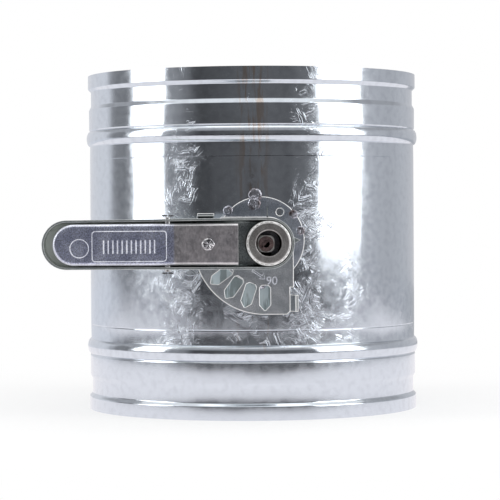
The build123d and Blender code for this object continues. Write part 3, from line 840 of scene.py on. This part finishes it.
# Rounded rims, and how much painted highlight each piece's leaning faces get
shaping = {
    "latch_lever": {
        "rim": {"radius": 1.7, "segments": 5, "onRim": onLeverEnd},
        "worn": {"share": 0.45, "from": 14, "full": 34, "until": 181},
    },
    "shaft": {
        "rim": {"radius": 0.9, "segments": 2, "onRim": onShaftEnd},
        "worn": {"share": 1.0, "from": 14, "full": 24, "until": 76},
    },
    "hub_cup": {
        "rim": {"radius": 0.95, "segments": 2, "onRim": onHubEdge},
        "worn": {"share": 1.0, "from": 8, "full": 20, "until": 84},
    },
    "quadrant_plate": {"clamped": False},
    "base_disc": {"clamped": False},
    "handle_body": {"clamped": False},
}
for node, (name, body, material, edge) in pressings.items():
    shaped = softEdged(node, edge * mm, **shaping.get(node, {}))
    if node == "hub_cup":
        # The painted highlight is kept faint on the lip round the mouth, so it shows mostly on the cup's outer edge
        for face in shaped.polygons:
            if fromHub(face.center) < hub["lip"]:
                shaped.attributes["bareEdge"].data[face.index].value *= hub["lipShare"]
    finishPiece(shaped, name, body, material, [node])
for node, key in {"latch_spring": "spring", "latch_pivot_pin": "bright"}.items():
    frame["nodes"][node].data.materials[0] = steel[key]
print("Pressings finished:", len(pressings))


# Domed rivets through the blade and its straps

rivets = {"headHeight": 1.25, "shankShare": 0.52, "around": 24, "rings": 12}


def looseMiddles(node):
    # The middle and the size of each separate piece of a node
    form = formOf(frame["nodes"][node].data)
    left = set(form.verts)
    found = []
    while left:
        heap = [left.pop()]
        spots = []
        while heap:
            corner = heap.pop()
            spots.append(corner.co.copy())
            near = {edge.other_vert(corner) for edge in corner.link_edges} & left
            left -= near
            heap += near
        low = Vector([min(spot[axis] for spot in spots) for axis in range(3)])
        high = Vector([max(spot[axis] for spot in spots) for axis in range(3)])
        found.append(((low + high) / 2, high - low))
    form.free()
    return sorted(found, key=lambda piece: tuple(piece[0]))


def rivetShape(work, given):
    # One rivet on each point: a shank with a domed head at both ends
    ball = {"Segments": given["Around"], "Rings": given["Rings"], "Radius": given["Head Radius"]}
    bar = {"Vertices": given["Around"], "Radius": given["Shank Radius"], "Depth": given["Shank Length"]}
    dome = work.add("GeometryNodeMeshUVSphere", ball)
    whole = work.add("GeometryNodeJoinGeometry")
    for side in ("Rise", "Drop"):
        placing = {"Geometry": dome, "Translation": given[side], "Scale": given["Squash"]}
        work.put(whole.inputs[0], work.add("GeometryNodeTransform", placing))
    work.put(whole.inputs[0], work.add("GeometryNodeMeshCylinder", bar))
    placed = work.add("GeometryNodeInstanceOnPoints", {"Points": given["Geometry"], "Instance": whole})
    return work.add("GeometryNodeSetShadeSmooth", {0: placed})


places = looseMiddles("blade_rivets")
extent = places[0][1]
head = rivets["headHeight"] * mm
sizes = {
    "Around": rivets["around"],
    "Rings": rivets["rings"],
    "Head Radius": extent.x / 2,
    "Shank Radius": extent.x / 2 * rivets["shankShare"],
    "Shank Length": extent.z - 2 * head,
    "Rise": Vector((0, 0, extent.z / 2 - head)),
    "Drop": Vector((0, 0, head - extent.z / 2)),
    "Squash": Vector((1, 1, head / (extent.x / 2))),
    "Finish": steel["bright"],
}
dots = bpy.data.meshes.new("rivet_places")
dots.from_pydata([tuple(middle) for middle, extent in places], [], [])
rivetMesh = growMesh("Blade rivets", rivetShape, dots, sizes)
finishPiece(rivetMesh, "domed_rivets", turning, steel["bright"], ["blade_rivets"])


# Raised beads and ribs on the lever, a plain arrow and a numeral on the quadrant

leverMarks = {
    "beadRadius": 0.3,
    "beadSunk": 0.14,
    "levelFrom": -100,
    "levelTo": -60,
    "ring": {"x": -105.5, "z": -2.0, "radius": 5.2},
    "frame": {"left": -98.3, "right": -56.5, "bottom": -9.4, "top": 7.6, "corner": 1.8},
    "ribs": {"from": -91.8, "spacing": 2.6, "count": 12, "z": -1.2, "length": 7.6, "radius": 0.42, "around": 12},
}
quadrantMarks = {
    "beadRadius": 0.3,
    "beadSunk": 0.06,
    "levelAt": (0.008, -0.02),
    "arrow": [(-7.0, -14.6), (-1.6, -18.4), (-0.9, -16.7), (-0.1, -20.2), (-3.3, -20.1), (-2.2, -19.2), (-7.4, -15.6)],
    "numeral": {"text": "90", "x": 0.6, "z": -23.4, "height": 4.9, "sizePerHeight": 1.35, "rise": 0.3},
}


def slopingLevel(node, first, second, sunk):
    # The level of a node's front along X, from two places on its face
    one = frontOf(node, first * mm, shaftHeight)
    two = frontOf(node, second * mm, shaftHeight)
    slope = (two - one) / ((second - first) * mm)
    return lambda x: one + (x - first * mm) * slope + sunk * mm


def ringPath(ring, steps=48):
    turns = [2 * math.pi * step / steps for step in range(steps)]
    radius = ring["radius"]
    return [(ring["x"] + radius * math.cos(turn), ring["z"] + radius * math.sin(turn)) for turn in turns]


def framePath(size, steps=6):
    corners = [
        (size["right"], size["top"], 0),
        (size["left"], size["top"], 90),
        (size["left"], size["bottom"], 180),
        (size["right"], size["bottom"], 270),
    ]
    radius = size["corner"]
    path = []
    for x, z, start in corners:
        middleX = x + radius * (1 if x == size["left"] else -1)
        middleZ = z + radius * (1 if z == size["bottom"] else -1)
        for step in range(steps + 1):
            turn = math.radians(start + 90 * step / steps)
            path.append((middleX + radius * math.cos(turn), middleZ + radius * math.sin(turn)))
    return path


def beadShape(work, given):
    # A round bead along each path, as a coined line stands up from the sheet
    curve = work.add("GeometryNodeMeshToCurve", {0: given["Geometry"]})
    circle = work.add("GeometryNodeCurvePrimitiveCircle", {"Resolution": given["Segments"], "Radius": given["Radius"]})
    bead = work.add("GeometryNodeCurveToMesh", {"Curve": curve, "Profile Curve": circle})
    return work.add("GeometryNodeSetShadeSmooth", {0: bead})


def raisedBeads(name, paths, level, radius, body):
    # Each path is closed, in mm across and up from the shaft
    spots = []
    edges = []
    for path in paths:
        start = len(spots)
        spots += [(u * mm, level(u * mm), shaftHeight + v * mm) for u, v in path]
        edges += [(start + spot, start + (spot + 1) % len(path)) for spot in range(len(path))]
    mesh = bpy.data.meshes.new(name)
    mesh.from_pydata(spots, edges, [])
    sizes = {"Radius": radius * mm, "Segments": 10, "Finish": steel["bead"]}
    finishPiece(growMesh("Raised beads", beadShape, mesh, sizes), name, body, steel["bead"])


def ribShape(work, given):
    # A row of short round bars on the grip, one at each step along X
    line = {"Count": given["Count"], "Start Location": given["Start"], "Offset": given["Step"]}
    bar = {"Vertices": given["Around"], "Radius": given["Radius"], "Depth": given["Length"]}
    row = work.add("GeometryNodeMeshLine", line)
    return work.add(
        "GeometryNodeInstanceOnPoints", {"Points": row, "Instance": work.add("GeometryNodeMeshCylinder", bar)}
    )


marks = leverMarks
gripLevel = slopingLevel("latch_lever", marks["levelFrom"], marks["levelTo"], marks["beadSunk"])
paths = [ringPath(marks["ring"]), framePath(marks["frame"])]
raisedBeads("lever_beads", paths, gripLevel, marks["beadRadius"], "latch")

ribs = marks["ribs"]
first = Vector((ribs["from"] * mm, gripLevel(ribs["from"] * mm), shaftHeight + ribs["z"] * mm))
drop = gripLevel((ribs["from"] + ribs["spacing"]) * mm) - first.y
sizes = {
    "Count": ribs["count"],
    "Start": first,
    "Step": Vector((ribs["spacing"] * mm, drop, 0)),
    "Around": ribs["around"],
    "Radius": ribs["radius"] * mm,
    "Length": ribs["length"] * mm,
    "Finish": steel["bead"],
}
ribMesh = growMesh("Grip ribs", ribShape, bpy.data.meshes.new("ribs"), sizes)
smoothByAngle(ribMesh, 40)
finishPiece(ribMesh, "lever_ribs", "latch", steel["bead"])

marks = quadrantMarks
across, up = marks["levelAt"]
plateLevel = frontOf("quadrant_plate", across, shaftHeight + up)
beadLevel = plateLevel + marks["beadSunk"] * mm
raisedBeads("quadrant_arrow", [marks["arrow"]], lambda x: beadLevel, marks["beadRadius"], "housing")


def numeralMesh(size):
    curve = bpy.data.curves.new("numeral", "FONT")
    curve.body = size["text"]
    curve.size = size["height"] * size["sizePerHeight"] * mm
    curve.extrude = size["rise"] * mm
    holder = workPiece(curve)
    mesh = evaluatedMesh(holder)
    bpy.data.objects.remove(holder)
    mesh.transform(Matrix.Rotation(math.radians(90), 4, "X"))
    mesh.transform(Matrix.Translation((size["x"] * mm, plateLevel, shaftHeight + size["z"] * mm)))
    form = formOf(mesh)
    bmesh.ops.recalc_face_normals(form, faces=form.faces)
    return meshFrom(form, "numeral")


finishPiece(numeralMesh(marks["numeral"]), "quadrant_numeral", "housing", steel["bead"])


# Weld beads, the peened pin head and the staked pivot ends

welds = {
    "discX": -1.7,
    "discZ": 1.9,
    "discRadius": 25.1,
    "discFaceAt": (0.012, 0.010),
    "places": [  # degrees round the disc, how far past its edge, radius
        (97.0, 1.0, 4.2),
        (100.0, -3.9, 4.0),
        (38.2, -1.3, 2.8),
        (13.1, -1.7, 2.8),
        (138.0, 0.3, 3.0),
        (270.0, -0.4, 3.6),
    ],
    "heightShare": 0.2,
    "ragged": 0.1,
    "rough": 0.45,
    "roughScale": 1.1,
    "puddleAt": 0.78,
    "puddleWidth": 0.14,
    "puddleHeight": 0.3,
    "footDepth": 2.2,
    "around": 40,
    "rings": 12,
}
peening = {
    "pinX": -32.8,
    "headRadius": 3.4,
    "lobes": 5,
    "lobeReach": 0.07,
    "rise": 0.72,
    "base": 0.04,
    "footDepth": 0.5,
    "around": 72,
    "rings": 10,
}
petals = {"count": 6, "reach": 2.1, "thickness": 0.7, "pastEnd": 0.7, "squash": (1.9, 0.6, 0.7)}


def addDome(form, top, size, shape):
    # Rings of corners below a top: shape gives across, up and level in mm for a share of the reach and an angle
    def corner(across, up, level):
        return form.verts.new((across * mm, -level * mm, up * mm + shaftHeight))

    peak = corner(*top)
    around, rings = size["around"], size["rings"]
    earlier = None
    for ring in range(1, rings + 1):
        current = [corner(*shape(ring / rings, 2 * math.pi * step / around)) for step in range(around)]
        for step in range(around):
            following = (step + 1) % around
            if earlier is None:
                form.faces.new((peak, current[step], current[following]))
            else:
                form.faces.new((earlier[step], current[step], current[following], earlier[following]))
        earlier = current
    form.faces.new(list(reversed(earlier)))


def domeMesh(form, name):
    bmesh.ops.recalc_face_normals(form, faces=form.faces)
    mesh = meshFrom(form, name)
    mesh.shade_smooth()
    return mesh


def addWeld(form, turn, past, radius):
    # A low dome, puddled round its rim and rough in its middle
    reach = welds["discRadius"] + past
    x = welds["discX"] + reach * math.cos(math.radians(turn))
    z = welds["discZ"] + reach * math.sin(math.radians(turn))
    rise = radius * welds["heightShare"]

    def shape(share, angle):
        u = math.cos(angle)
        v = math.sin(angle)
        ragged = noise.noise(Vector((x + 2 * u, z + 2 * v, 3.0)))
        wide = radius * share * (1 + welds["ragged"] * ragged * share)
        scale = welds["roughScale"]
        bumps = noise.noise(Vector(((x + wide * u) * scale, (z + wide * v) * scale, 7.0)))
        puddle = welds["puddleHeight"] * math.exp(-(((share - welds["puddleAt"]) / welds["puddleWidth"]) ** 2))
        height = rise * (1 - share**3) + (puddle + welds["rough"] * bumps) * (1 - share)
        return x + wide * u, z + wide * v, discFront + (height if share < 1 else -welds["footDepth"])

    addDome(form, (x, z, discFront + rise), welds, shape)


def peenedShape(share, angle):
    # The riveted head of the locking pin, struck into lobes
    lobe = math.cos(peening["lobes"] * angle)
    wide = peening["headRadius"] * share * (1 + peening["lobeReach"] * lobe * share)
    height = peening["base"] + peening["rise"] * (1 - share**2) * (0.2 + 0.8 * share * max(lobe, -0.2))
    last = height if share < 1 else -peening["footDepth"]
    return peening["pinX"] + wide * math.cos(angle), wide * math.sin(angle), pinFront + last


across, up = welds["discFaceAt"]
discFront = -frontOf("base_disc", across, shaftHeight + up) / mm
form = bmesh.new()
for turn, past, radius in welds["places"]:
    addWeld(form, turn, past, radius)
weldMesh = domeMesh(form, "weld_beads")
finishPiece(weldMesh, "weld_beads", "housing", steel["weld"], ["tack_welds"])

pinFront = -frontOf("locking_pin", peening["pinX"] * mm, shaftHeight) / mm
form = bmesh.new()
addDome(form, (peening["pinX"], 0, pinFront + 0.1), peening, peenedShape)
finishPiece(domeMesh(form, "peened_head"), "peened_head", "latch", steel["peen"])


def petalShape(work, given):
    # Small splayed petals round each end of the pivot pin
    circle = work.add("GeometryNodeMeshCircle", {"Vertices": given["Count"], "Radius": given["Reach"]})
    both = work.add("GeometryNodeJoinGeometry")
    for end in ("Top", "Bottom"):
        moved = work.add("GeometryNodeTransform", {"Geometry": circle, "Translation": given[end]})
        work.put(both.inputs[0], moved)
    petal = work.add("GeometryNodeMeshIcoSphere", {"Radius": given["Thickness"], "Subdivisions": 3})
    shaped = work.add("GeometryNodeTransform", {"Geometry": petal, "Scale": given["Squash"]})
    away = work.vector("SUBTRACT", work.add("GeometryNodeInputPosition"), given["Middle"])
    flat = work.vector("MULTIPLY", away, (1, 1, 0))
    turned = work.add("FunctionNodeAlignRotationToVector", {"Vector": flat}, axis="X", pivot_axis="Z")
    placed = work.add("GeometryNodeInstanceOnPoints", {"Points": both, "Instance": shaped, "Rotation": turned})
    return work.add("GeometryNodeSetShadeSmooth", {0: placed})


pinEnds = [spot.z for spot in spotsOf("latch_pivot_pin")]
past = petals["pastEnd"] * mm
sizes = {
    "Count": petals["count"],
    "Reach": petals["reach"] * mm,
    "Thickness": petals["thickness"] * mm,
    "Squash": Vector(petals["squash"]),
    "Top": Vector((pivotX, pivotY, max(pinEnds) + past)),
    "Bottom": Vector((pivotX, pivotY, min(pinEnds) - past)),
    "Middle": Vector((pivotX, pivotY, pivotZ)),
    "Finish": steel["spring"],
}
petalMesh = growMesh("Staked petals", petalShape, bpy.data.meshes.new("petals"), sizes)
finishPiece(petalMesh, "staked_petals", turning, steel["spring"])
print("Mechanism dressed")


# The studio

def areaLamp(name, power, width, height, spot, aim):
    lamp = bpy.data.lights.new(name, "AREA")
    lamp.shape = "RECTANGLE"
    lamp.size = width
    lamp.size_y = height
    lamp.energy = power
    holder = workPiece(lamp, name)
    holder.location = spot
    holder.rotation_euler = (Vector(aim) - Vector(spot)).to_track_quat("-Z", "Y").to_euler()


def aroundDuct(degrees, distance, height):  # degrees from the front, towards +X
    turn = math.radians(degrees)
    return Vector((distance * math.sin(turn), -distance * math.cos(turn), height))


softboxes = {
    "Left softbox": {"around": -77.5, "distance": 1.0, "width": 0.48, "bottom": 0.09, "top": 0.95, "glow": 2.8},
    "Right softbox": {"around": 58.8, "distance": 1.0, "width": 0.64, "bottom": 0.09, "top": 0.95, "glow": 2.8},
    "Top softbox": {"around": 0, "distance": 0.1, "width": 0.9, "bottom": 1.2, "top": 1.2, "glow": 0.8},
}
for name, box in softboxes.items():
    # One with no height between bottom and top lies flat and looks down
    tall = box["top"] - box["bottom"]
    spot = aroundDuct(box["around"], box["distance"], box["bottom"] + tall / 2)
    aim = Vector((0, 0, spot.z)) if tall else Vector((spot.x, spot.y, 0))
    tall = tall or box["width"]
    areaLamp(name, box["glow"] * math.pi * box["width"] * tall, box["width"], tall, spot, aim)

skyGlow = {"onMatt": 0.75, "onMetalAndLens": 1.0}
world = bpy.data.worlds.new("Pale studio")
bpy.context.scene.world = world
work = emptyTree(world)
path = work.add("ShaderNodeLightPath").outputs
seen = work.chain("MAXIMUM", path["Is Camera Ray"], path["Is Glossy Ray"], path["Is Transmission Ray"])
strength = work.spread(seen, 0, 1, skyGlow["onMatt"], skyGlow["onMetalAndLens"], smooth=False)
sky = work.add("ShaderNodeBackground", {"Color": (1, 1, 1, 1), "Strength": strength})
work.add("ShaderNodeOutputWorld", {0: sky})

# A wall of grey cards round the set, darkest near the lens: only the metal sees it
cards = {
    "radius": 2.2,
    "bottom": -0.4,
    "top": 2.2,
    "paleAbove": (0.75, 1.15),
    "paleTone": 0.42,
    "tones": [  # degrees from the front, towards +X, and how pale
        (-180, 0.76),
        (-122, 0.78),
        (-112, 0.24),
        (-98, 0.22),
        (-66, 0.34),
        (-50, 0.22),
        (-40, 0.055),
        (-30, 0.085),
        (-8, 0.12),
        (8, 0.13),
        (22, 0.11),
        (34, 0.16),
        (48, 0.34),
        (84, 0.54),
        (106, 0.50),
        (124, 0.56),
        (180, 0.66),
    ],
}


def cardWall():
    form = bmesh.new()
    bmesh.ops.create_cone(
        form,
        cap_ends=False,
        segments=128,
        radius1=cards["radius"],
        radius2=cards["radius"],
        depth=cards["top"] - cards["bottom"],
        matrix=Matrix.Translation((0, 0, (cards["top"] + cards["bottom"]) / 2)),
    )
    material = bpy.data.materials.new("Grey cards")
    work = emptyTree(material)
    x, y, z = work.split(work.place())
    turn = work.math("ARCTAN2", x, work.math("MULTIPLY", y, -1.0))
    share = work.spread(turn, -math.pi, math.pi, smooth=False)
    ramp = work.add("ShaderNodeValToRGB", {0: share})
    stops = ramp.color_ramp.elements
    while len(stops) < len(cards["tones"]):
        stops.new(0.5)
    for stop, (degrees, tone) in zip(stops, cards["tones"]):
        stop.position = (degrees + 180) / 360
        stop.color = (tone, tone, tone * 1.04, 1)
    pale = cards["paleTone"]
    tone = work.blend(work.spread(z, *cards["paleAbove"]), ramp, (pale, pale, pale * 1.03, 1))
    work.add("ShaderNodeOutputMaterial", {0: work.glow(tone)})
    mesh = meshFrom(form, "card_wall")
    mesh.materials.append(material)
    wall = workPiece(mesh, "card_wall")
    wall.visible_camera = False
    wall.visible_diffuse = False
    wall.visible_shadow = False


cardWall()

ground = {
    "half": 6.0,
    "paper": (0.95, 0.95, 0.95, 1),
    "white": (1, 1, 1, 1),
    "whiter": (0.16, 0.4, 0.55, 1.0),  # how far off the paper turns to plain white, and its share at both
    "sheen": (1.0, 0.965, 0.985, 1),
    "frontDim": (0.03, 0.03, 0.033, 1),
    "sideDim": (0.30, 0.31, 0.34, 1),
    "sideways": (0.8, 2.0),
    "backLeft": (0.78, 0.79, 0.84, 1),
    "backRight": (0.46, 0.47, 0.50, 1),
    "backAcross": (-0.4, 0.4),
    "backFrom": (0.25, 0.7),
    "squash": (0.8, 1.6, 1.0),
    "far": (0.98, 1.14),
    "smudge": (0.16, 0.16, 0.17, 1),
    "smudgeAt": (-0.06, -0.48, 0),
    "smudgeStretch": (5.0, 16.0, 1.0),
    "smudgeFade": (0.35, 1.1, 0.55, 0.0),
}


def paleFloor():
    half = ground["half"]
    mesh = bpy.data.meshes.new("floor")
    mesh.from_pydata([(-half, -half, 0), (half, -half, 0), (half, half, 0), (-half, half, 0)], [], [(0, 1, 2, 3)])
    material = bpy.data.materials.new("Pale floor")
    work = emptyTree(material)
    place = work.place()
    path = work.add("ShaderNodeLightPath").outputs
    paper = work.add("ShaderNodeBsdfDiffuse", {"Color": ground["paper"]})
    near = work.spread(work.vector("LENGTH", place), *ground["whiter"])
    shown = work.add("ShaderNodeMixShader", {0: near, 1: paper, 2: work.glow(ground["white"])})

    # In the metal the floor darkens far off, most in front, where the camera and its stand are
    right, back = work.split(place)[:2]
    depth = work.math("MAXIMUM", work.math("ABSOLUTE", back), 0.05)
    sideways = work.math("DIVIDE", work.math("ABSOLUTE", right), depth)
    dim = work.blend(work.spread(sideways, *ground["sideways"]), ground["frontDim"], ground["sideDim"])
    behind = work.blend(work.spread(right, *ground["backAcross"]), ground["backLeft"], ground["backRight"])
    dim = work.blend(work.spread(back, *ground["backFrom"]), dim, behind)
    far = work.spread(work.vector("LENGTH", work.vector("MULTIPLY", place, ground["squash"])), *ground["far"])
    # The stand's shadow in front of the duct: only the metal's foot mirrors it
    offset = work.vector("SUBTRACT", place, ground["smudgeAt"])
    offset = work.vector("MULTIPLY", offset, ground["smudgeStretch"])
    shadow = work.spread(work.vector("LENGTH", offset), *ground["smudgeFade"])
    sheen = {0: shadow, 1: work.glow(ground["sheen"]), 2: work.glow(ground["smudge"])}
    nearShine = work.add("ShaderNodeMixShader", sheen)
    mirrored = work.add("ShaderNodeMixShader", {0: far, 1: nearShine, 2: work.glow(dim)})
    both = work.add("ShaderNodeMixShader", {0: path["Is Glossy Ray"], 1: shown, 2: mirrored})
    work.add("ShaderNodeOutputMaterial", {0: both})
    mesh.materials.append(material)
    workPiece(mesh, "floor")


paleFloor()

shot = {
    "around": -3.8,
    "distance": 1.34,
    "height": 0.1184,
    "pitch": -0.93,
    "turn": 0.06,
    "roll": -0.35,
    "lens": 155.4,
}
lensData = bpy.data.cameras.new("Camera")
lensData.lens = shot["lens"]
lensData.sensor_width = 36
camera = workPiece(lensData, "Camera")
camera.matrix_world = (
    Matrix.Translation(aroundDuct(shot["around"], shot["distance"], shot["height"]))
    @ Matrix.Rotation(math.radians(shot["around"] + shot["turn"]), 4, "Z")
    @ Matrix.Rotation(math.radians(90 + shot["pitch"]), 4, "X")
    @ Matrix.Rotation(math.radians(shot["roll"]), 4, "Z")
)
bpy.context.scene.camera = camera
bpy.context.scene.view_settings.view_transform = "Standard"
print("Studio set")
